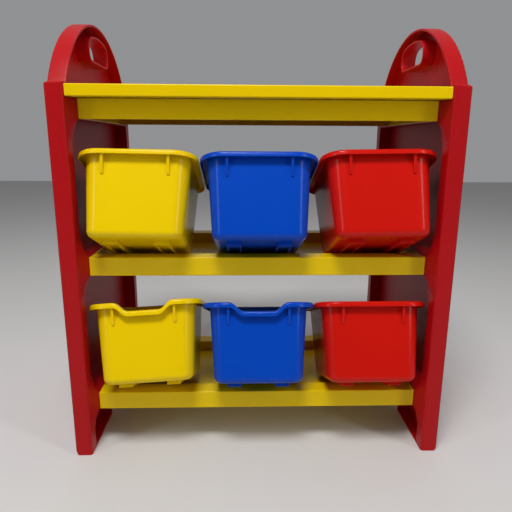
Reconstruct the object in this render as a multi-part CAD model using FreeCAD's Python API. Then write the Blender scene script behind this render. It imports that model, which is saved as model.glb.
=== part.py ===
import FreeCAD, Part
import math
import os

# Toy storage organizer with bins: two moulded side panels with arched tops and hand holes,
# three plastic trays between them, a top board, and six loose bins in two rows of three.
# Millimetres, +Z up, front at -Y. Origin: on the floor, midway between the panels and midway
# through their depth.

V = FreeCAD.Vector
os.makedirs("parts", exist_ok=True)

# --- driving dimensions -----------------------------------------------------------------
inner_half = 300.0        # middle of the unit to the inner plane of a side panel
panel_thick = 29.0        # width of a panel seen from the front
panel_depth = 430.0
shoulder_z = 642.0        # top of the straight front strip
arch_radius = 226.0
crown_z = 762.0
web = 3.5                 # skin left behind the pockets
rim = 4.0                 # thin rim round the arch and the feet
band = 27.0               # box-shaped front and back uprights
foot_len = 140.0          # each foot, front to back
cutout_z = 35.0           # height of the opening between the feet
cutout_round = 15.0
outer_round = 3.0         # rounding of the outer edge, all the way round
front_round = 5.0         # rounding of the inner edge of the front and back strips
inner_round = 1.5         # rounding of the inner edge of the arch and of the opening between the feet
shoulder_round = 7.5      # rounding of the outer corner on top of each strip
shoulder_front = 4.0      # rounding of the front and back edges on top of the strips
foot_bevel = 5.0          # bevel of the outer bottom edge of the feet
foot_bevel_h = 10.0
sweep_len = 36.0          # height over which a bay's edge curves in to a shelf
sweep_bulge = 1.6
arch_rib = 3.0            # gusset between the crown and the top of the hand hole
foot_chamfer = 5.0        # the foot pocket narrows by this much at the lower tray
foot_chamfer_h = 26.0

hole_half = 58.5          # hand hole: half width, flat bottom, arched top
hole_bottom = 697.0
hole_top = 738.5
hole_round = 13.0         # its bottom corners
hole_shoulder = 22.0      # its top corners
tube = 3.5                # wall of the tube round the hand hole

tray_half = 290.5         # middle to the visible end of a tray
tray_front = -183.0
tray_back = 80.0
tray_h = 32.5
lip = 32.5                # depth of the box-shaped front and back lips
tray_wall = 3.0
floor_drop = 20.5         # lip top down to the tray floor
tray_bottoms = {"top_tray": 588.3, "middle_tray": 328.0, "lower_tray": 74.6}
tray_round = 1.6
tongue_len = 18.0
tongue_fit = 0.4
tongue_side = 6.0         # tongue to the side faces and the top of its lip
tongue_low = 8.0          # tongue to the bottom of its lip
boss_reach = 34.0         # ramp above and below each shelf on the panels
boss_tail = 30.0          # taper behind each shelf
beam_core_x = 309.5       # the beam behind a shelf's end is hollow up to here

board_h = 18.5
board_front = -212.0
board_wall = 3.0
board_rib_pitch = 63.0
board_rib = 2.2
board_round = 1.8
board_brace = 20.0        # a brace runs along the board this far behind its front edge, and at the back

bin_pitch = 200.0
bin_behind = 52.5         # lip to the rear ends of the runners, along the base: sets the tilt
bin_len = 172.0           # outside, at the base
bin_w = 155.0
bin_flare = 9.8           # each wall leans out this much up to the rim
bin_h = 140.0
bin_wall = 2.2
base_corner = 20.0        # plan radius of the upright edges at the base
mouth_corner = 27.0       # and at the rim
base_round = 11.0
rim_out = 12.0
rim_drop = 9.3
rim_round = 40.0
skirt = 2.0
runner_h = 7.2
runner_in = 30.0          # runner: from here to runner_out on both sides
runner_out = 54.0
runner_end = 24.0         # runner to the ends of the base
runner_round = 1.2
notch_depth = 15.5
notch_floor = 31.0        # half width at the bottom of the notch
notch_top = 46.5          # half width at the rim
rib_at = 53.0
rib_len = 38.5
rib_thick = 4.5
rib_tip = 3.0             # the blunt lower end of a rib stands out this far
rest_gap = 0.4            # loose bins stand this far off what carries them

# bin name: column, tray, notched end to the front, how far it is slid back on the lip (which
# tips it less), roll in degrees (left side down)
bins = {
    "upper_yellow_bin": (-1, "middle_tray", False, -0.5, -1.0),
    "upper_blue_bin": (0, "middle_tray", False, 2.0, 0.0),
    "upper_red_bin": (1, "middle_tray", False, -2.4, 1.0),
    "lower_yellow_bin": (-1, "lower_tray", True, 4.2, 3.4),
    "lower_blue_bin": (0, "lower_tray", True, 3.1, 0.0),
    "lower_red_bin": (1, "lower_tray", False, 2.4, 0.0),
}

half_depth = panel_depth / 2.0
arch_z = crown_z - arch_radius
board_z = tray_bottoms["top_tray"] + tray_h


# --- helpers ----------------------------------------------------------------------------
def box(x0, x1, y0, y1, z0, z1):
    return Part.makeBox(x1 - x0, y1 - y0, z1 - z0, V(x0, y0, z0))


def prism_x(points, x0, x1):
    """Polygon in the YZ plane pushed along X."""
    wire = Part.makePolygon([V(x0, y, z) for y, z in points + points[:1]])
    return Part.Face(wire).extrude(V(x1 - x0, 0, 0))


def prism_y(points, y0, y1):
    """Polygon in the XZ plane pushed along Y."""
    wire = Part.makePolygon([V(x, y0, z) for x, z in points + points[:1]])
    return Part.Face(wire).extrude(V(0, y1 - y0, 0))


def prism_z(points, z0, z1):
    """Polygon in the XY plane pushed along Z."""
    wire = Part.makePolygon([V(x, y, z0) for x, y in points + points[:1]])
    return Part.Face(wire).extrude(V(0, 0, z1 - z0))


def round_rect(half_x, y0, y1, radius, z):
    """Closed wire: a rectangle with rounded corners at height z."""
    k = radius * (1.0 - math.sqrt(0.5))
    corners = [(half_x, y1, -1, -1), (-half_x, y1, 1, -1), (-half_x, y0, 1, 1), (half_x, y0, -1, 1)]
    arcs = []
    for x, y, sx, sy in corners:
        across = V(x, y + sy * radius, z)
        along = V(x + sx * radius, y, z)
        mid = V(x + sx * k, y + sy * k, z)
        first, last = (across, along) if sx * sy > 0 else (along, across)
        arcs.append((first, mid, last))
    edges = []
    for i, (first, mid, last) in enumerate(arcs):
        edges.append(Part.Arc(first, mid, last).toShape())
        edges.append(Part.makeLine(last, arcs[(i + 1) % 4][0]))
    return Part.Wire(edges)


def arch_point(radius, y):
    return arch_z + math.sqrt(radius * radius - y * y)


def hand_hole(grow, x0, x1):
    """D-shaped bar along X: flat bottom, arched top, rounded corners."""
    half = hole_half + grow
    low = hole_bottom - grow
    radius = hole_top - arch_z + grow
    side_z = arch_point(radius, half)
    wire = Part.Wire([
        Part.makeLine(V(x0, -half, low), V(x0, half, low)),
        Part.makeLine(V(x0, half, low), V(x0, half, side_z)),
        Part.Arc(V(x0, half, side_z), V(x0, 0, arch_z + radius), V(x0, -half, side_z)).toShape(),
        Part.makeLine(V(x0, -half, side_z), V(x0, -half, low)),
    ])
    solid = Part.Face(wire).extrude(V(x1 - x0, 0, 0))

    def corners(shape, top):
        return [e for e in shape.Edges if abs(abs(e.CenterOfMass.y) - half) < 0.01
                and e.BoundBox.XLength > 1.0 and (e.CenterOfMass.z > hole_bottom + hole_round) == top]

    solid = solid.makeFillet(hole_round + grow, corners(solid, False))
    return solid.makeFillet(hole_shoulder + grow, corners(solid, True))


# --- side panel (the right one; the left one is its mirror image) --------------------------
def panel_outline(x):
    h = half_depth
    f = h - foot_len
    r = cutout_round
    chord = math.sqrt(arch_radius ** 2 - (shoulder_z - arch_z) ** 2)
    k = r * (1.0 - math.sqrt(0.5))

    def line(a, b):
        return Part.makeLine(V(x, *a), V(x, *b))

    return Part.Wire([
        line((-h, 0), (-f, 0)),
        line((-f, 0), (-f, cutout_z - r)),
        Part.Arc(V(x, -f, cutout_z - r), V(x, -f + k, cutout_z - k), V(x, -f + r, cutout_z)).toShape(),
        line((-f + r, cutout_z), (f - r, cutout_z)),
        Part.Arc(V(x, f - r, cutout_z), V(x, f - k, cutout_z - k), V(x, f, cutout_z - r)).toShape(),
        line((f, cutout_z - r), (f, 0)),
        line((f, 0), (h, 0)),
        line((h, 0), (h, shoulder_z)),
        line((h, shoulder_z), (chord, shoulder_z)),
        Part.Arc(V(x, chord, shoulder_z), V(x, 0, crown_z), V(x, -chord, shoulder_z)).toShape(),
        line((-chord, shoulder_z), (-h, shoulder_z)),
        line((-h, shoulder_z), (-h, 0)),
    ])


def bay_pocket(z0, z1):
    """Pocket between two shelf levels, its front and back edges curving in at the shelves."""
    wide = half_depth - band
    narrow = -tray_front
    x0 = inner_half - 1.0
    x1 = inner_half + panel_thick - web
    edges = [Part.makeLine(V(x0, -narrow, z), V(x0, narrow, z)) for z in (z0, z1)]
    for side in (-1, 1):
        edges.append(Part.makeLine(V(x0, side * wide, z0 + sweep_len), V(x0, side * wide, z1 - sweep_len)))
        for shelf_z, up in ((z0, 1), (z1, -1)):
            edges.append(Part.Arc(V(x0, side * narrow, shelf_z),
                                  V(x0, side * (wide - sweep_bulge), shelf_z + up * 0.45 * sweep_len),
                                  V(x0, side * wide, shelf_z + up * sweep_len)).toShape())
    outline = Part.Wire(Part.__sortEdges__(edges))
    return Part.Face(outline).extrude(V(x1 - x0, 0, 0))


def socket_boss(z0, z1, flare_up):
    """Raised block a tray end butts against, ramped at both ends, flared above and below."""
    root = inner_half + 2.0
    rise = inner_half - tray_half
    steps = 5
    curve = [(inner_half - rise * (i / steps) ** 2, boss_reach * (1.0 - i / steps))
             for i in range(steps + 1)]
    profile = [(root, z0 - boss_reach)] + [(x, z0 - away) for x, away in curve]
    if flare_up:
        profile += [(x, z1 + away) for x, away in reversed(curve)] + [(root, z1 + boss_reach)]
    else:
        profile += [(tray_half, z1), (root, z1)]
    front = -half_depth + front_round
    flank = prism_y(profile, front, tray_front)
    flank = flank.common(prism_z([(root, front), (inner_half, front), (tray_half, tray_front),
                                  (root, tray_front)], 0.0, crown_z))
    beam = box(tray_half, root, tray_front, tray_back, z0, z1)
    tail = prism_z([(tray_half, tray_back), (inner_half, tray_back + boss_tail),
                    (root, tray_back + boss_tail), (root, tray_back)], z0, z1)
    return flank.fuse([beam, tail])


def tongue_boxes(z0, fit):
    """The blocks on a tray's right end (fit 0) or the sockets for them (fit > 0)."""
    z_low = z0 + tongue_low - fit
    z_high = z0 + tray_h - tongue_side + fit
    x0 = tray_half - tray_wall
    x1 = tray_half + tongue_len + fit
    return [box(x0, x1, y0 + tongue_side - fit, y0 + lip - tongue_side + fit, z_low, z_high)
            for y0 in (tray_front, tray_back - lip)]


def side_panel():
    x0 = inner_half
    x1 = inner_half + panel_thick
    body = Part.Face(panel_outline(x0)).extrude(V(panel_thick, 0, 0))

    body = body.makeFillet(outer_round, [
        e for e in body.Edges if abs(e.BoundBox.XMin - x1) < 0.01 and e.BoundBox.XLength < 0.01])
    body = body.makeFillet(front_round, [
        e for e in body.Edges
        if e.BoundBox.XLength < 0.01 and abs(e.CenterOfMass.x - x0) < 0.01
        and abs(abs(e.CenterOfMass.y) - half_depth) < 0.01])
    body = body.makeFillet(inner_round, [
        e for e in body.Edges
        if abs(e.BoundBox.XMin - x0) < 0.01 and e.BoundBox.XLength < 0.01
        and (e.BoundBox.ZMax > crown_z - 1.0 or e.BoundBox.ZMax < cutout_z + 0.1)])

    # bevel under the feet, and the rounded top of each strip: its outer corner and its face edge
    past = 1.0                # cutting shapes start this far outside the face they cut
    body = body.cut(prism_y([(x1 + past, -past), (x1 + past, foot_bevel_h), (x1, foot_bevel_h),
                             (x1 - foot_bevel, 0.0), (x1 - foot_bevel, -past)],
                            -half_depth - past, half_depth + past))
    chord = math.sqrt(arch_radius ** 2 - (shoulder_z - arch_z) ** 2)
    for side in (-1, 1):
        r = shoulder_round
        y_low, y_high = sorted((side * chord, side * (half_depth + past)))
        corner = box(x1 - r, x1 + past, y_low, y_high, shoulder_z - r, shoulder_z + past)
        bar = Part.makeCylinder(r, panel_depth + 4 * past, V(x1 - r, -half_depth - 2 * past, shoulder_z - r),
                                V(0, 1, 0))
        body = body.cut(corner.cut(bar))
        r = shoulder_front
        y_bar = side * (half_depth - r)
        y_low, y_high = sorted((y_bar, side * (half_depth + past)))
        corner = box(x0 - past, x1 + past, y_low, y_high, shoulder_z - r, shoulder_z + past)
        bar = Part.makeCylinder(r, panel_thick + 4 * past, V(x0 - 2 * past, y_bar, shoulder_z - r),
                                V(1, 0, 0))
        body = body.cut(corner.cut(bar))

    # open recess under the arch, with the hand-hole tube and the gusset above it
    web_x = x1 - web
    z_base = board_z + board_h
    base_half = math.sqrt((arch_radius - rim) ** 2 - (z_base - arch_z) ** 2)
    recess = Part.Face(Part.Wire([
        Part.makeLine(V(x0 - past, -base_half, z_base), V(x0 - past, base_half, z_base)),
        Part.Arc(V(x0 - past, base_half, z_base), V(x0 - past, 0, crown_z - rim),
                 V(x0 - past, -base_half, z_base)).toShape(),
    ])).extrude(V(web_x - x0 + past, 0, 0))
    recess = recess.cut(hand_hole(tube, x0 - 2 * past, x1 + past))
    recess = recess.cut(prism_y([(x0, hole_top), (x1, hole_top), (x1, crown_z - rim), (web_x, crown_z - rim),
                                 (x0, hole_top + tube)], -arch_rib / 2, arch_rib / 2))
    body = body.cut(recess)
    body = body.cut(hand_hole(0.0, x0 - past, x1 + past))

    # pockets of the two bays and of the feet
    levels = [tray_bottoms[n] for n in ("lower_tray", "middle_tray", "top_tray")]
    body = body.cut(bay_pocket(levels[0] + tray_h, levels[1]))
    body = body.cut(bay_pocket(levels[1] + tray_h, levels[2]))
    f = half_depth - foot_len + rim
    a = half_depth - band
    narrow = a - foot_chamfer
    z_side = levels[0] - foot_chamfer_h
    foot = [(-a, rim), (-f, rim), (-f, cutout_z + rim), (f, cutout_z + rim), (f, rim), (a, rim),
            (a, z_side), (narrow, levels[0]), (-narrow, levels[0]), (-a, z_side)]
    body = body.cut(prism_x(foot, x0 - past, web_x))

    # socket blocks for the tray ends, and the hollow in the beam between the two sockets
    for z in levels:
        body = body.fuse(socket_boss(z, z + tray_h, z != levels[2]))
        for hollow in tongue_boxes(z, tongue_fit):
            body = body.cut(hollow)
        body = body.cut(box(tray_half - past, beam_core_x, tray_front + lip + tongue_side,
                            tray_back - lip - tongue_side, z + rim, z + tray_h - rim))
    return body.removeSplitter()


# --- trays ------------------------------------------------------------------------------
def tray(z0):
    w = tray_wall
    zt = z0 + tray_h
    zf = zt - floor_drop
    x = tray_half
    outer = box(-x, x, tray_front, tray_back, z0, zt)
    bed = box(-x + w, x - w, tray_front + lip, tray_back - lip, zf, zt + 1)
    solid = outer.cut(bed)
    # hollow underneath: both lips and the space below the floor
    solid = solid.cut(box(-x + w, x - w, tray_front + w, tray_front + lip - w, z0 - 1, zt - w))
    solid = solid.cut(box(-x + w, x - w, tray_back - lip + w, tray_back - w, z0 - 1, zt - w))
    solid = solid.cut(box(-x + w, x - w, tray_front + lip - w - 1, tray_back - lip + w + 1, z0 - 1, zf - w))
    for block in tongue_boxes(z0, 0.0):
        solid = solid.fuse(block)
        solid = solid.fuse(block.mirror(V(0, 0, 0), V(1, 0, 0)))
    solid = solid.removeSplitter()
    edges = [e for e in solid.Edges
             if e.BoundBox.XLength > 500 and abs(e.BoundBox.ZMin - zt) < 0.01 and e.BoundBox.ZLength < 0.01]
    return solid.makeFillet(tray_round, edges)


def top_board():
    """Board hollow underneath, with cross ribs from front to back and a brace along each edge."""
    w = board_wall
    z0 = board_z
    z1 = board_z + board_h
    x = inner_half
    y = -board_front
    solid = box(-x, x, -y, y, z0, z1).cut(box(-x + w, x - w, -y + w, y - w, z0 - 1, z1 - w))
    bays = int(2 * x / board_rib_pitch) + 1
    for i in range(1, bays):
        rib_x = -x + i * 2 * x / bays
        solid = solid.fuse(box(rib_x - board_rib / 2, rib_x + board_rib / 2, -y + w / 2, y - w / 2,
                               z0 + 2.0, z1 - w / 2))
    for y_brace in (-y + board_brace, y - board_brace):
        solid = solid.fuse(box(-x + w / 2, x - w / 2, y_brace - w / 2, y_brace + w / 2, z0, z1 - w / 2))
    solid = solid.removeSplitter()
    edges = [e for e in solid.Edges
             if abs(e.BoundBox.ZMin - z1) < 0.01 and e.BoundBox.ZLength < 0.01
             and max(e.BoundBox.XLength, e.BoundBox.YLength) > y]
    return solid.makeFillet(board_round, edges)


# --- bins -------------------------------------------------------------------------------
def notch_path(top, half_width):
    """Outline points of the rim along the notched end, left to right."""
    return [(-half_width, top), (-notch_top, top), (-notch_floor, top - notch_depth),
            (notch_floor, top - notch_depth), (notch_top, top), (half_width, top)]


def storage_bin():
    """One bin in its own frame: base at z = 0, notched end at y = 0, plain end at y = bin_len."""
    hw = bin_w / 2.0
    t = bin_wall
    fl = bin_flare
    top = bin_h
    outer = Part.makeLoft([round_rect(hw, 0, bin_len, base_corner, 0.0),
                           round_rect(hw + fl, -fl, bin_len + fl, mouth_corner, top)], True, True)
    outer = outer.makeFillet(base_round, [e for e in outer.Edges if e.BoundBox.ZMax < 0.01])
    lean = fl * t / top
    inner = Part.makeLoft([round_rect(hw - t + lean, t - lean, bin_len - t + lean, base_corner - t, t),
                           round_rect(hw + fl - t, -fl + t, bin_len + fl - t, mouth_corner - t, top)],
                          True, True)
    inner = inner.makeFillet(base_round - t, [e for e in inner.Edges if e.BoundBox.ZMax < t + 0.01])

    # rim: a flange and a skirt that both follow the notch in the front end
    low = top - 2 * notch_depth
    edge = fl + rim_out
    ring = Part.Face(round_rect(hw + edge, -edge, bin_len + edge, rim_round, low))
    ring = ring.extrude(V(0, 0, top - low))
    edge = edge - skirt
    drop = Part.Face(round_rect(hw + edge, -edge, bin_len + edge, rim_round - skirt, low - skirt))
    drop = drop.extrude(V(0, 0, top - low + 2 * skirt))
    far = hw + fl + rim_out + skirt
    y_near = -fl - rim_out - skirt
    y_mid = bin_len / 2.0
    y_far = bin_len - y_near
    path = notch_path(top, far)
    rims = []
    for hoop, height in ((ring.cut(inner), t), (ring.cut(drop), rim_drop)):
        band_shape = prism_y(path + [(x, z - height) for x, z in reversed(path)], y_near, y_mid)
        band_shape = band_shape.fuse(box(-far, far, y_mid, y_far, top - height, top))
        rims.append(hoop.common(band_shape))
    shell = outer.cut(inner).cut(prism_y(path[1:5], y_near, mouth_corner))

    # two short ribs under the rim at each end, and the two runners under the base
    ribs = []
    for y_wall, sign in ((-fl, -1), (bin_len + fl, 1)):
        tip = y_wall + sign * 0.7 * rim_out
        low_end = top - rib_len
        wall_there = y_wall - sign * fl * rib_len / top
        points = [(y_wall - sign * t / 2, top - 1.0), (tip, top - 1.0), (tip, top - rim_drop),
                  (wall_there + sign * rib_tip, low_end + rib_tip / 2),
                  (wall_there + sign * rib_tip / 2, low_end), (wall_there - sign * t / 2, low_end)]
        for x in (-rib_at, rib_at):
            ribs.append(prism_x(points, x - rib_thick / 2, x + rib_thick / 2))
    rails = []
    for x in (-runner_out, runner_in):
        rail = box(x, x + runner_out - runner_in, runner_end, bin_len - runner_end, -runner_h, 1.0)
        rails.append(rail.makeFillet(runner_round, [e for e in rail.Edges
                                                    if e.BoundBox.ZMax < -runner_h + 0.01]))
    return shell.fuse(rims + ribs + rails).removeSplitter()


def place_bin(solid, column, tray_z, notch_front, slid_back, roll):
    shape = solid.copy()
    if not notch_front:
        shape.rotate(V(0, bin_len / 2.0, 0), V(0, 0, 1), 180)
    if roll:
        # turned about its rim, then lifted until both runners clear the tray
        shape.rotate(V(0, 0, bin_h), V(0, 1, 0), -roll)
        shape.translate(V(0, 0, runner_out * math.sin(math.radians(abs(roll))) + rest_gap / 2))
    # the runners lie on the back edge of the front lip, their ends on the tray floor
    behind = bin_behind + slid_back
    tilt = math.degrees(math.asin(floor_drop / behind))
    shape.translate(V(0, behind + runner_end - bin_len, runner_h + rest_gap))
    shape.rotate(V(0, 0, 0), V(1, 0, 0), -tilt)
    shape.translate(V(column * bin_pitch, tray_front + lip, tray_z + tray_h))
    return shape


# --- build and export -------------------------------------------------------------------
right = side_panel()
left = right.mirror(V(0, 0, 0), V(1, 0, 0))
pieces = {"right_side_panel": right, "left_side_panel": left, "top_board": top_board()}
for name, z in tray_bottoms.items():
    pieces[name] = tray(z)
one_bin = storage_bin()
for name, (column, tray_name, notch_front, slid_back, roll) in bins.items():
    pieces[name] = place_bin(one_bin, column, tray_bottoms[tray_name], notch_front, slid_back, roll)

for name, shape in pieces.items():
    shape.exportStep("parts/" + name + ".step")
    b = shape.BoundBox
    print(name, "solids", len(shape.Solids), "valid", shape.isValid(), "litres",
          round(shape.Volume / 1e6, 3), "X", round(b.XMin, 1), round(b.XMax, 1),
          "Y", round(b.YMin, 1), round(b.YMax, 1), "Z", round(b.ZMin, 1), round(b.ZMax, 1))
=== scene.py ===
import math

import bmesh
import bpy
from mathutils import Matrix, Vector


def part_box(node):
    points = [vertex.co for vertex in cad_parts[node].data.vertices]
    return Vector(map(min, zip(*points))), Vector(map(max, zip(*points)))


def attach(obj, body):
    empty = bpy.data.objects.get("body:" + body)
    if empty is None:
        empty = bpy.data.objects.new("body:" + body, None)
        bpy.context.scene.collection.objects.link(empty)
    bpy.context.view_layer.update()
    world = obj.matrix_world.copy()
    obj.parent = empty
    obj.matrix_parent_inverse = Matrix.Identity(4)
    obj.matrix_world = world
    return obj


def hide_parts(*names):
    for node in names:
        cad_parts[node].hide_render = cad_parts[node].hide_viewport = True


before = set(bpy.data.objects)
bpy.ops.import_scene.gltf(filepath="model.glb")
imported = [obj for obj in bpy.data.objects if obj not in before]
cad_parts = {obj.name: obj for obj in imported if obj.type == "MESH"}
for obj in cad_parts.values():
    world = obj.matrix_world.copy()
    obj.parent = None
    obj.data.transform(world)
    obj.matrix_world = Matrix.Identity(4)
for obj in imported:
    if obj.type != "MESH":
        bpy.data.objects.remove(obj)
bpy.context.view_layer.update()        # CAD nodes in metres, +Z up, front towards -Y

bl_info = {
    "name": "Toy Storage Organizer",
    "version": (1, 0, 0),
    "blender": (4, 5, 0),
    "location": "View3D > Sidebar > Organizer",
    "description": "Two arched uprights, a top board, three trays and six loose bins in moulded plastic",
    "category": "Object",
}

MM = 0.001
UNIT = "unit"            # the body that carries everything but the bins


# --- sizes and colours ------------------------------------------------------------------
def length(name, description, millimetres):
    return bpy.props.FloatProperty(name=name, description=description, default=millimetres * MM,
                                   unit="LENGTH", subtype="DISTANCE")


def to_linear(hex_colour):
    """sRGB hex value to the linear colour that a shader reads."""
    channels = [int(hex_colour[i:i + 2], 16) / 255.0 for i in (1, 3, 5)]
    return tuple(c / 12.92 if c <= 0.04045 else ((c + 0.055) / 1.055) ** 2.4 for c in channels)


def colour(name, description, hex_colour):
    return bpy.props.FloatVectorProperty(name=name, description=description, subtype="COLOR", size=3,
                                         default=to_linear(hex_colour), min=0.0, max=1.0)


class OrganizerSizes(bpy.types.PropertyGroup):
    edge_round: length("Panel edges", "Rounding of the sharp edges of the uprights", 1.7)
    lip_round: length("Tray edges", "Rounding of the long edges of the trays", 1.6)
    board_round: length("Board edges", "Rounding of the edges of the top board", 1.8)
    shell: length("Tray wall", "Wall thickness of the trays and the board", 3.0)
    tray_lip: length("Tray lip", "Depth of the front and back lips of a tray", 32.5)
    tray_drop: length("Tray floor", "Drop from a tray's lip to its floor", 20.5)
    bin_length: length("Bin length", "Outside length of a bin at its base", 172.0)
    bin_width: length("Bin width", "Outside width of a bin at its base", 155.0)
    bin_height: length("Bin height", "Height of a bin without its runners", 140.0)
    bin_flare: length("Bin flare", "How far each wall leans out from base to rim", 9.8)
    bin_wall: length("Bin wall", "Wall thickness of a bin", 2.2)
    rim_out: length("Rim width", "How far the rim stands out from the walls", 12.0)
    rim_drop: length("Rim drop", "Height of the skirt of the rim", 9.3)
    notch_depth: length("Notch depth", "How far the rim dips at the notched end", 15.5)
    notch_floor: length("Notch floor", "Half width of the bottom of the notch", 31.0)
    notch_top: length("Notch top", "Half width of the notch at the rim", 46.5)
    bin_pitch: length("Bin pitch", "Spacing of the bins in a row", 200.0)
    runner_height: length("Runner height", "Height of the two runners under a bin", 7.2)
    runner_end: length("Runner end", "Distance of a runner from each end of the base", 24.0)
    rib_length: length("Rib length", "How far the ribs under the rim reach down", 38.5)


class OrganizerColours(bpy.types.PropertyGroup):
    crimson: colour("Crimson", "Uprights", "#AE0810")
    red: colour("Red", "Red bins", "#C81409")
    yellow: colour("Yellow", "Board, trays and yellow bins", "#E8C500")
    blue: colour("Blue", "Blue bins", "#0244B6")


def context_sizes():
    return bpy.context.scene.organizer_sizes


# --- materials --------------------------------------------------------------------------
def add_node(tree, kind, settings=None, values=None, links=None):
    """One node with its settings, socket values and incoming links (socket: (node, output))."""
    node = tree.nodes.new(kind)
    for key, value in (settings or {}).items():
        setattr(node, key, value)
    for key, value in (values or {}).items():
        node.inputs[key].default_value = value
    for key, (source, output) in (links or {}).items():
        tree.links.new(source.outputs[output], node.inputs[key])
    return node


def moulded_polypropylene(name, rgb, roughness, scuffs):
    """Injection-moulded polypropylene: waxy gloss, slow waves from shrinkage, and fine scuffs."""
    material = bpy.data.materials.get(name)
    if material:
        return material
    material = bpy.data.materials.new(name)
    material.use_nodes = True
    tree = material.node_tree
    tree.nodes.clear()
    place = add_node(tree, "ShaderNodeTexCoord")
    deep = tuple(c * 0.93 for c in rgb) + (1.0,)
    plain = tuple(min(1.0, c * 1.03) for c in rgb) + (1.0,)
    # pigment clouds about 120 mm across
    clouds = add_node(tree, "ShaderNodeTexNoise", values={"Scale": 8.0, "Detail": 2.0, "Roughness": 0.4},
                      links={"Vector": (place, "Object")})
    tint = add_node(tree, "ShaderNodeMix", {"data_type": "RGBA"}, {6: deep, 7: plain},
                    {0: (clouds, "Fac")})
    # shrinkage waves about 60 mm long, and a skin of about 1 mm grain, drawn coarse enough to show
    waves = add_node(tree, "ShaderNodeTexNoise", values={"Scale": 16.0, "Detail": 0.0},
                     links={"Vector": (place, "Object")})
    grain = add_node(tree, "ShaderNodeTexNoise", values={"Scale": 900.0, "Detail": 1.0, "Roughness": 0.5},
                     links={"Vector": (place, "Object")})
    # scuffs: streaks 3 mm apart and some 60 mm long
    stretch = add_node(tree, "ShaderNodeMapping", {"vector_type": "TEXTURE"},
                       {"Scale": (1.0, 1.0, 18.0), "Rotation": (0.35, 0.2, 0.5)},
                       {"Vector": (place, "Object")})
    streaks = add_node(tree, "ShaderNodeTexNoise", values={"Scale": 320.0, "Detail": 4.0, "Roughness": 0.6},
                       links={"Vector": (stretch, "Vector")})
    worn = add_node(tree, "ShaderNodeMapRange", values={"From Min": 0.5, "From Max": 0.8,
                                                        "To Min": roughness, "To Max": roughness + scuffs},
                    links={"Value": (streaks, "Fac")})
    wave_bump = add_node(tree, "ShaderNodeBump", values={"Strength": 0.25, "Distance": 0.0008},
                         links={"Height": (waves, "Fac")})
    grain_bump = add_node(tree, "ShaderNodeBump", values={"Strength": 0.05, "Distance": 0.00005},
                          links={"Height": (grain, "Fac"), "Normal": (wave_bump, "Normal")})
    shader = add_node(tree, "ShaderNodeBsdfPrincipled",
                      values={"IOR": 1.49, "Subsurface Weight": 0.05, "Subsurface Scale": 0.002,
                              "Specular IOR Level": 0.2},
                      links={"Base Color": (tint, 2), "Roughness": (worn, "Result"),
                             "Normal": (grain_bump, "Normal")})
    add_node(tree, "ShaderNodeOutputMaterial", links={"Surface": (shader, "BSDF")})
    return material


FINISHES = {
    # finish: colour, roughness where unscuffed, how much rougher the scuffs are
    "crimson_plastic": ("crimson", 0.38, 0.08),
    "red_plastic": ("red", 0.22, 0.10),
    "yellow_plastic": ("yellow", 0.22, 0.08),
    "blue_plastic": ("blue", 0.22, 0.10),
}


def plastic(finish):
    """The material of each finish: one for each slot, and a cooler, duller red for the uprights."""
    pigment, roughness, scuffs = FINISHES[finish]
    rgb = getattr(bpy.context.scene.organizer_colours, pigment)
    return moulded_polypropylene("moulded_polypropylene_" + pigment, rgb, roughness, scuffs)


# --- modelling helpers ------------------------------------------------------------------
def nothing_selected():
    if bpy.context.object and bpy.context.object.mode != "OBJECT":
        bpy.ops.object.mode_set(mode="OBJECT")
    bpy.ops.object.select_all(action="DESELECT")


def edit(piece):
    nothing_selected()
    bpy.context.view_layer.objects.active = piece
    piece.select_set(True)
    bpy.ops.object.mode_set(mode="EDIT")


def pick(kind, test):
    """Selects the faces, edges or vertices being edited that pass the test."""
    bpy.ops.mesh.select_mode(type=kind)
    bpy.ops.mesh.select_all(action="DESELECT")
    mesh = bmesh.from_edit_mesh(bpy.context.object.data)
    for item in {"FACE": mesh.faces, "EDGE": mesh.edges, "VERT": mesh.verts}[kind]:
        if test(item):
            item.select_set(True)
    bmesh.update_edit_mesh(bpy.context.object.data)


def cut(co, no):
    """Cuts the whole mesh being edited along a plane."""
    bpy.ops.mesh.select_mode(type="FACE")
    bpy.ops.mesh.select_all(action="SELECT")
    bpy.ops.mesh.bisect(plane_co=co, plane_no=no)


def push(z=0.0):
    """Extrudes what is selected, straight up or down."""
    bpy.ops.mesh.extrude_region_move(TRANSFORM_OT_translate={"value": (0.0, 0.0, z)})


def block(name, low, high):
    """A box primitive between two corners, its place in its mesh."""
    nothing_selected()
    middle = [(a + b) / 2 for a, b in zip(low, high)]
    bpy.ops.mesh.primitive_cube_add(size=1.0, location=middle)
    piece = bpy.context.object
    piece.name = name
    piece.data.name = name
    piece.scale = [b - a for a, b in zip(low, high)]
    bpy.ops.object.transform_apply(location=True, rotation=True, scale=True)
    return piece


def modify(piece, kind, **settings):
    nothing_selected()
    bpy.context.view_layer.objects.active = piece
    piece.select_set(True)
    modifier = piece.modifiers.new(kind.lower(), kind)
    for key, value in settings.items():
        setattr(modifier, key, value)
    bpy.ops.object.modifier_apply(modifier=modifier.name)


def join(piece, others):
    nothing_selected()
    for other in others:
        other.select_set(True)
    piece.select_set(True)
    bpy.context.view_layer.objects.active = piece
    bpy.ops.object.join()


def soften(piece, width, segments, degrees):
    """Rounds every sharp edge, then shades the piece smooth across its flats."""
    modify(piece, "BEVEL", width=width, segments=segments, limit_method="ANGLE",
           angle_limit=math.radians(degrees), use_clamp_overlap=False)
    shade(piece)


def shade(piece):
    """Smooth shading, with the flats kept flat."""
    nothing_selected()
    bpy.context.view_layer.objects.active = piece
    piece.select_set(True)
    bpy.ops.object.shade_smooth()
    modify(piece, "WEIGHTED_NORMAL", keep_sharp=True, weight=100)


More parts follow.
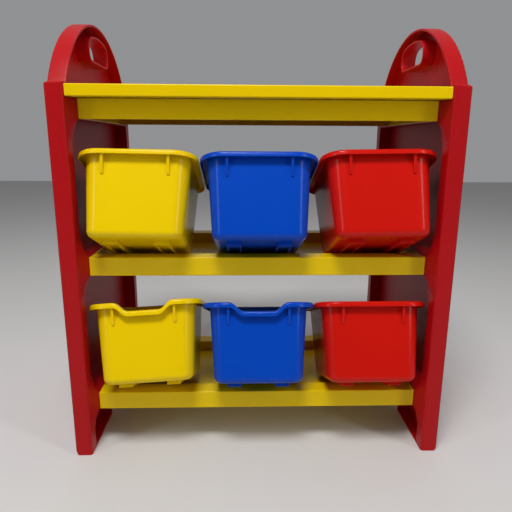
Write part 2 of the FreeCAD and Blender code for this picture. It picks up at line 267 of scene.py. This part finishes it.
def finish_piece(piece, body, slot, node, finish=None):
    """Gives a piece its material and its body, and hides the CAD node that it replaces."""
    piece.data.materials.clear()
    piece.data.materials.append(plastic(finish or slot))
    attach(piece, body)
    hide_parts(node)


# --- pieces of the unit -----------------------------------------------------------------
def edge_key(e):
    """The middle of an edge in whole micrometres, which stays while other edges are bevelled."""
    return tuple(round(c / MM * 500) for c in e.verts[0].co + e.verts[1].co)


def edge_runs(test):
    """The edges being edited that pass the test, as one set of keys for each run that touches."""
    mesh = bmesh.from_edit_mesh(bpy.context.object.data)
    left = {e for e in mesh.edges if test(e)}
    runs = []
    while left:
        ends, run = [left.pop()], set()
        while ends:
            e = ends.pop()
            run.add(edge_key(e))
            for near in (n for v in e.verts for n in v.link_edges if n in left):
                left.discard(near)
                ends.append(near)
        runs.append(run)
    return sorted(runs, key=lambda run: (len(run), min(run)))


def upright(node, name):
    """An upright, from a merged copy of its solid, with every edge rounded as in a moulding."""
    sizes = context_sizes()
    piece = bpy.data.objects.new(name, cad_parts[node].data.copy())
    bpy.context.scene.collection.objects.link(piece)
    edit(piece)
    bpy.ops.mesh.select_all(action="SELECT")
    bpy.ops.mesh.remove_doubles(threshold=0.0001)
    bpy.ops.mesh.dissolve_limited(angle_limit=math.radians(1.0))
    outer = max(abs(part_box(node)[0].x), abs(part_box(node)[1].x))
    own_round = 3.3 * MM                  # how far in the solid's own rounded outer edge reaches
    hole_half, hole_low, hole_high = 60 * MM, 690 * MM, 745 * MM
    sharp = math.radians(50.0)

    def unrounded(e):
        """A sharp edge that the solid leaves sharp: all but those of its rounded outer edge."""
        if len(e.link_faces) != 2 or e.calc_face_angle() < sharp:
            return False
        middle = (e.verts[0].co + e.verts[1].co) / 2
        in_hole = abs(middle.y) < hole_half and hole_low < middle.z < hole_high
        return in_hole or abs(middle.x) < outer - own_round

    # one run of touching edges at a time, so that short edges hold back only their own run
    for run in edge_runs(unrounded):
        pick("EDGE", lambda e: edge_key(e) in run)
        bpy.ops.mesh.bevel(offset=sizes.edge_round, segments=3, profile=0.5, clamp_overlap=True,
                           miter_outer="ARC")
    bpy.ops.object.mode_set(mode="OBJECT")
    shade(piece)
    finish_piece(piece, UNIT, "red_plastic", node, "crimson_plastic")


class ORGANIZER_OT_uprights(bpy.types.Operator):
    """The two arched side panels"""
    bl_idname = "organizer.uprights"
    bl_label = "Uprights"

    def execute(self, context):
        upright("right_side_panel", "upright_right")
        upright("left_side_panel", "upright_left")
        return {"FINISHED"}


def tray(node, name):
    """A tray: box lips front and back, a sunken floor, hollow underneath."""
    sizes = context_sizes()
    low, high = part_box(node)
    shell = sizes.shell
    x = 290.5 * MM                        # half its width, up to the inner faces of the uprights
    y0, y1 = low.y, high.y
    z0, z1 = low.z, high.z
    piece = block(name, (-x, y0, z0), (x, y1, z1))
    edit(piece)
    front, back = y0 + sizes.tray_lip, y1 - sizes.tray_lip
    for y in (y0 + shell, front - shell, front, back, back + shell, y1 - shell):
        cut((0, y, 0), (0, 1, 0))
    for side in (-1, 1):
        cut((side * (x - shell), 0, 0), (1, 0, 0))
    near = 0.1 * MM

    def flat(face, up, ya, yb):
        c = face.calc_center_median()
        return face.normal.z * up > 0.9 and ya - near < c.y < yb + near and abs(c.x) < x - shell

    pick("FACE", lambda f: flat(f, 1, front, back))
    push(z=-sizes.tray_drop)
    under = z1 - z0 - sizes.tray_drop - shell
    pick("FACE", lambda f: flat(f, -1, y0 + shell, y1 - shell) and f.calc_center_median().z < z0 + near)
    push(z=under)
    pick("FACE", lambda f: f.calc_center_median().z < z0 + under + near
         and (flat(f, -1, y0 + shell, front - shell) or flat(f, -1, back + shell, y1 - shell)))
    push(z=z1 - z0 - shell - under)
    bpy.ops.object.mode_set(mode="OBJECT")
    soften(piece, sizes.lip_round, 3, 40.0)
    finish_piece(piece, UNIT, "yellow_plastic", node)


class ORGANIZER_OT_trays(bpy.types.Operator):
    """The three trays"""
    bl_idname = "organizer.trays"
    bl_label = "Trays"

    def execute(self, context):
        for level in ("top", "middle", "lower"):
            tray(level + "_tray", "tray_" + level)
        return {"FINISHED"}


class ORGANIZER_OT_board(bpy.types.Operator):
    """The flat top board, ribbed underneath"""
    bl_idname = "organizer.board"
    bl_label = "Top board"

    def execute(self, context):
        sizes = context_sizes()
        low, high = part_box("top_board")
        shell = sizes.shell
        piece = block("board", low, high)
        edit(piece)
        pick("FACE", lambda f: f.normal.z < -0.9)
        bpy.ops.mesh.inset(thickness=shell)
        push(z=high.z - low.z - shell)
        bpy.ops.object.mode_set(mode="OBJECT")
        ribs = []
        bays, half_rib, rib_above, brace_in = 10, 1.1 * MM, 2 * MM, 20 * MM
        for i in range(1, bays):
            x = low.x + (high.x - low.x) * i / bays
            ribs.append(block("rib", (x - half_rib, low.y + shell / 2, low.z + rib_above),
                              (x + half_rib, high.y - shell / 2, high.z - shell / 2)))
        for y in (low.y + brace_in, high.y - brace_in):
            ribs.append(block("brace", (low.x + shell / 2, y - shell / 2, low.z),
                              (high.x - shell / 2, y + shell / 2, high.z - shell / 2)))
        soften(piece, sizes.board_round, 4, 40.0)
        join(piece, ribs)
        finish_piece(piece, UNIT, "yellow_plastic", "top_board")
        return {"FINISHED"}


# --- bins -------------------------------------------------------------------------------
def rounded_face(half_x, y0, y1, corner, z):
    """Adds a rounded rectangle, one selected face, to the mesh being edited."""
    middle = (0.0, (y0 + y1) / 2, z)
    bpy.ops.mesh.select_mode(type="VERT")
    bpy.ops.mesh.primitive_plane_add(size=1.0, location=middle)
    bpy.ops.transform.resize(value=(2 * half_x, y1 - y0, 1.0), center_override=middle)
    bpy.ops.mesh.bevel(offset=corner, segments=8, affect="VERTICES", clamp_overlap=False)
    bpy.ops.mesh.select_mode(type="FACE")
    bpy.ops.mesh.select_all(action="SELECT")


def reshape(old, new):
    """Moves the selected outline from one rounded rectangle to the next, corner by corner."""
    mesh = bmesh.from_edit_mesh(bpy.context.object.data)
    for v in mesh.verts:
        if v.select:
            ends = []
            for half_x, y0, y1, corner, z in (old, new):
                y = y0 + corner if v.co.y < (old[1] + old[2]) / 2 else y1 - corner
                ends.append(Vector((math.copysign(half_x - corner, v.co.x), y, z)))
            v.co = ends[1] + (v.co - ends[0]) * new[3] / old[3]
    bmesh.update_edit_mesh(bpy.context.object.data)


def bin_shell(sizes):
    """A bin in its own frame: base at z = 0, notched end at y = 0. The inner skin, then its wall."""
    wall = sizes.bin_wall
    flare = sizes.bin_flare
    top = sizes.bin_height
    length_y = sizes.bin_length
    half = sizes.bin_width / 2
    base_corner, mouth_corner, rim_corner = 20 * MM, 27 * MM, 40 * MM
    floor_round, mouth_round, rim_round = 8.8 * MM, 3 * MM, 4.5 * MM

    def outline(out, corner, z):
        rings.append((half + out, -out, length_y + out, corner, z))

    rings = []
    arc = [math.radians(a) for a in (0.0, 22.5, 45.0, 67.5, 90.0)]

    def lean(z):
        return flare * z / top - wall

    def corner_at(z):
        return base_corner + (mouth_corner - base_corner) * z / top - wall

    for a in arc:
        z = wall + floor_round * (1 - math.cos(a))
        inside = floor_round * (1 - math.sin(a))
        outline(lean(z) - inside, corner_at(z) - inside * 0.8, z)
    for z in (30 * MM, 60 * MM, 90 * MM, 108 * MM):
        outline(lean(z), corner_at(z), z)
    bend = top - mouth_round              # where the wall starts to turn out into the rim
    for a in arc:
        over = mouth_round * (1 - math.cos(a))
        outline(lean(bend) + over, corner_at(bend) + over, bend + mouth_round * math.sin(a))
    rim_edge = flare + sizes.rim_out
    for a in arc:
        inside = rim_round * (1 - math.sin(a))
        outline(rim_edge - inside, rim_corner - inside, top - rim_round * (1 - math.cos(a)))
    outline(rim_edge, rim_corner, top - sizes.rim_drop)

    nothing_selected()
    piece = bpy.data.objects.new("bin", bpy.data.meshes.new("bin"))
    bpy.context.scene.collection.objects.link(piece)
    edit(piece)
    rounded_face(*rings[0])
    for old, new in zip(rings, rings[1:]):
        push()
        reshape(old, new)
    bpy.ops.mesh.delete(type="ONLY_FACE")
    bpy.ops.mesh.select_all(action="SELECT")
    bpy.ops.mesh.flip_normals()
    # cuts where the notch starts and ends, each corner eased over a few millimetres
    ease = 6 * MM
    for mark in (sizes.notch_floor, sizes.notch_top):
        for step in (-1.0, -0.35, 0.35, 1.0):
            for side in (-1, 1):
                cut((side * (mark + step * ease), 0, 0), (1, 0, 0))
    mesh = bmesh.from_edit_mesh(piece.data)

    def dip(x):
        """Share of the notch's depth at this distance from the middle, its corners eased."""
        def ramp(d):
            return max(0.0, min(1.0, (sizes.notch_top - d) / (sizes.notch_top - sizes.notch_floor)))
        return (ramp(x - ease * 0.6) + ramp(x) + ramp(x + ease * 0.6)) / 3

    front, upper = 10 * MM, 120 * MM      # the notch bends what lies before and above these
    for v in mesh.verts:
        if v.co.y < front and v.co.z > upper:
            share = dip(abs(v.co.x))
            v.co.z -= sizes.notch_depth * share
            v.co.y += flare * sizes.notch_depth * share / top
    bmesh.update_edit_mesh(piece.data)
    bpy.ops.object.mode_set(mode="OBJECT")
    # the skin faces into the bin, so its wall grows away from the cavity
    modify(piece, "SOLIDIFY", thickness=wall, offset=-1.0, use_even_offset=True, use_quality_normals=True)
    return piece


RUNNER_IN, RUNNER_OUT = 30 * MM, 54 * MM      # a runner's edges, from the middle of its bin


def bin_piece(sizes):
    """A whole bin: shell, two ribs under the rim at each end, and two runners under the base."""
    shell = bin_shell(sizes)
    extras = []
    top = sizes.bin_height
    low_end = top - sizes.rib_length
    slant = sizes.bin_flare * sizes.rib_length / top
    reach, root, tip = sizes.rim_out * 0.7, 1.1 * MM, 2.4 * MM
    rib_x, half_rib, overlap, edge = 53 * MM, 2.25 * MM, 1 * MM, 0.7 * MM
    for y, out in ((-sizes.bin_flare, -1), (sizes.bin_length + sizes.bin_flare, 1)):
        for x in (-rib_x, rib_x):
            y0, y1 = sorted((y - out * root, y + out * reach))
            rib = block("rib", (x - half_rib, y0, low_end), (x + half_rib, y1, top - overlap))
            edit(rib)
            cut((0, 0, top - sizes.rim_drop), (0, 0, 1))
            pick("VERT", lambda v: (v.co.y - y) * out > root and v.co.z < low_end + root)
            bpy.ops.transform.translate(value=(0, -out * (reach + slant - tip), 0))
            pick("VERT", lambda v: (v.co.y - y) * out < -root / 2 and v.co.z < low_end + root)
            bpy.ops.transform.translate(value=(0, -out * slant, 0))
            pick("EDGE", lambda e: all((v.co.y - y + out * slant) * out > tip / 2 and v.co.z < low_end + root
                                       for v in e.verts))
            bpy.ops.mesh.bevel(offset=tip * 0.45, segments=3)
            bpy.ops.object.mode_set(mode="OBJECT")
            extras.append(rib)
    end, depth = sizes.runner_end, sizes.runner_height
    for side in (-1, 1):
        x0, x1 = sorted((side * RUNNER_IN, side * RUNNER_OUT))
        rail = block("runner", (x0, end, -depth), (x1, sizes.bin_length - end, overlap))
        edit(rail)
        pick("FACE", lambda f: f.normal.z < -0.9)
        bpy.ops.mesh.inset(thickness=sizes.bin_wall)
        push(z=depth - sizes.bin_wall)
        bpy.ops.object.mode_set(mode="OBJECT")
        extras.append(rail)
    for extra in extras:
        modify(extra, "BEVEL", width=edge, segments=2, limit_method="ANGLE",
               angle_limit=math.radians(35.0), use_clamp_overlap=False)
    join(shell, extras)
    soften(shell, edge, 2, 50.0)
    return shell


BINS = {
    # bin: column, tray, slot, notched end to the front, slid back on the lip (mm),
    # roll in degrees (left side down)
    "upper_yellow": (-1, "middle_tray", "yellow_plastic", False, -0.5, -1.0),
    "upper_blue": (0, "middle_tray", "blue_plastic", False, 2.0, 0.0),
    "upper_red": (1, "middle_tray", "red_plastic", False, -2.4, 1.0),
    "lower_yellow": (-1, "lower_tray", "yellow_plastic", True, 4.2, 3.4),
    "lower_blue": (0, "lower_tray", "blue_plastic", True, 3.1, 0.0),
    "lower_red": (1, "lower_tray", "red_plastic", False, 2.4, 0.0),
}


def bin_place(sizes, column, tray_node, notch_front, slid_back, roll):
    """Matrix from a bin's own frame to its place, leaning on the tray's lip."""
    low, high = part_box(tray_node)
    rest_gap = 0.4 * MM
    usual = 52.5                          # lip to the rear ends of the runners, along the base (mm)
    behind = (usual + slid_back) * MM
    tilt = math.asin(sizes.tray_drop / behind)
    move = Matrix.Translation((column * sizes.bin_pitch, low.y + sizes.tray_lip, high.z))
    move @= Matrix.Rotation(-tilt, 4, "X")
    move @= Matrix.Translation((0, behind + sizes.runner_end - sizes.bin_length,
                                sizes.runner_height + rest_gap))
    if roll:
        pivot = Vector((0, 0, sizes.bin_height))
        lift = RUNNER_OUT * math.sin(math.radians(abs(roll))) + rest_gap / 2
        move @= Matrix.Translation((0, 0, lift)) @ Matrix.Translation(pivot)
        move @= Matrix.Rotation(math.radians(-roll), 4, "Y") @ Matrix.Translation(-pivot)
    if not notch_front:
        middle = Vector((0, sizes.bin_length / 2, 0))
        move @= Matrix.Translation(middle) @ Matrix.Rotation(math.pi, 4, "Z") @ Matrix.Translation(-middle)
    return move


class ORGANIZER_OT_bins(bpy.types.Operator):
    """The six loose bins"""
    bl_idname = "organizer.bins"
    bl_label = "Bins"

    def execute(self, context):
        sizes = context_sizes()
        pattern = bin_piece(sizes)
        for name, (column, tray_node, slot, *pose) in BINS.items():
            mesh = pattern.data.copy()
            piece = bpy.data.objects.new("bin_" + name, mesh)
            context.scene.collection.objects.link(piece)
            mesh.transform(bin_place(sizes, column, tray_node, *pose))
            finish_piece(piece, name + "_body", slot, name + "_bin")
        bpy.data.objects.remove(pattern)
        return {"FINISHED"}


# --- stage ------------------------------------------------------------------------------
LIGHTS = (
    # name, degrees round from the front, degrees up, size in metres, watts
    ("key", -12.0, 60.0, (0.8, 0.6), 50.0),
    ("left_strip", -50.0, 24.0, (0.25, 2.0), 10.0),
    ("right_strip", 50.0, 24.0, (0.25, 2.0), 13.0),
    ("back", 180.0, 65.0, (1.4, 1.0), 7.0),
)


def area_light(name, place, aim, size, power):
    lamp = bpy.data.lights.new(name, "AREA")
    lamp.shape = "RECTANGLE"
    lamp.size, lamp.size_y = size
    lamp.energy = power
    holder = bpy.data.objects.new(name, lamp)
    holder.location = place
    holder.rotation_euler = (Vector(aim) - Vector(place)).to_track_quat("-Z", "Y").to_euler()
    bpy.context.scene.collection.objects.link(holder)


class ORGANIZER_OT_stage(bpy.types.Operator):
    """Plain pale floor, soft lights and the camera"""
    bl_idname = "organizer.stage"
    bl_label = "Stage"

    def execute(self, context):
        nothing_selected()
        bpy.ops.mesh.primitive_plane_add(size=12.0, location=(0.0, 0.0, 0.0))
        floor = context.object
        floor.name = "floor"
        ground = bpy.data.materials.new("pale_matt_paper")
        ground.use_nodes = True
        ground.node_tree.nodes.clear()
        shader = add_node(ground.node_tree, "ShaderNodeBsdfPrincipled",
                          values={"Base Color": (0.66, 0.65, 0.64, 1.0), "Roughness": 0.7})
        add_node(ground.node_tree, "ShaderNodeOutputMaterial", links={"Surface": (shader, "BSDF")})
        floor.data.materials.append(ground)

        world = bpy.data.worlds.new("studio")
        context.scene.world = world
        world.use_nodes = True
        tree = world.node_tree
        # darker in front and paler behind, shading softly from one to the other
        place = add_node(tree, "ShaderNodeTexCoord")
        split = add_node(tree, "ShaderNodeSeparateXYZ", links={"Vector": (place, "Generated")})
        wall = add_node(tree, "ShaderNodeMapRange", values={"From Min": -0.4, "From Max": 0.3,
                                                            "To Min": 0.12, "To Max": 0.29},
                        links={"Value": (split, "Y")})
        background = tree.nodes["Background"]
        background.inputs["Color"].default_value = (0.97, 0.98, 1.0, 1.0)
        tree.links.new(wall.outputs["Result"], background.inputs["Strength"])

        middle, distance = Vector((0.0, 0.0, 0.38)), 2.6
        for name, azimuth, elevation, size, power in LIGHTS:
            turn, rise = math.radians(azimuth), math.radians(elevation)
            away = Vector((math.sin(turn) * math.cos(rise), -math.cos(turn) * math.cos(rise), math.sin(rise)))
            area_light(name, middle + distance * away, middle, size, power)

        # the place, aim and focal length come from fitting the object's corners
        lens = bpy.data.cameras.new("camera")
        lens.sensor_width = 36.0
        lens.lens = 34.03
        camera = bpy.data.objects.new("camera", lens)
        context.scene.collection.objects.link(camera)
        camera.matrix_world = (Matrix.Translation((-0.0296, -0.9932, 0.5540))
                               @ Matrix.Rotation(math.radians(-1.738), 4, "Z")
                               @ Matrix.Rotation(math.radians(76.735), 4, "X")
                               @ Matrix.Rotation(math.radians(0.306), 4, "Z"))
        context.scene.camera = camera
        context.scene.view_settings.view_transform = "Standard"
        return {"FINISHED"}


# --- panel and run ----------------------------------------------------------------------
STEPS = (ORGANIZER_OT_uprights, ORGANIZER_OT_board, ORGANIZER_OT_trays, ORGANIZER_OT_bins,
         ORGANIZER_OT_stage)


class ORGANIZER_PT_sidebar(bpy.types.Panel):
    bl_label = "Toy storage organizer"
    bl_idname = "ORGANIZER_PT_sidebar"
    bl_space_type = "VIEW_3D"
    bl_region_type = "UI"
    bl_category = "Organizer"

    def draw(self, context):
        for group in (context.scene.organizer_sizes, context.scene.organizer_colours):
            for key in group.__annotations__:
                self.layout.prop(group, key)
        for step in STEPS:
            self.layout.operator(step.bl_idname)


CLASSES = (OrganizerSizes, OrganizerColours) + STEPS + (ORGANIZER_PT_sidebar,)


def register():
    for cls in CLASSES:
        bpy.utils.register_class(cls)
    bpy.types.Scene.organizer_sizes = bpy.props.PointerProperty(type=OrganizerSizes)
    bpy.types.Scene.organizer_colours = bpy.props.PointerProperty(type=OrganizerColours)


def unregister():
    del bpy.types.Scene.organizer_colours
    del bpy.types.Scene.organizer_sizes
    for cls in reversed(CLASSES):
        bpy.utils.unregister_class(cls)


def main():
    register()
    for step in STEPS:
        group, name = step.bl_idname.split(".")
        getattr(getattr(bpy.ops, group), name)()


if __name__ == "__main__":
    main()
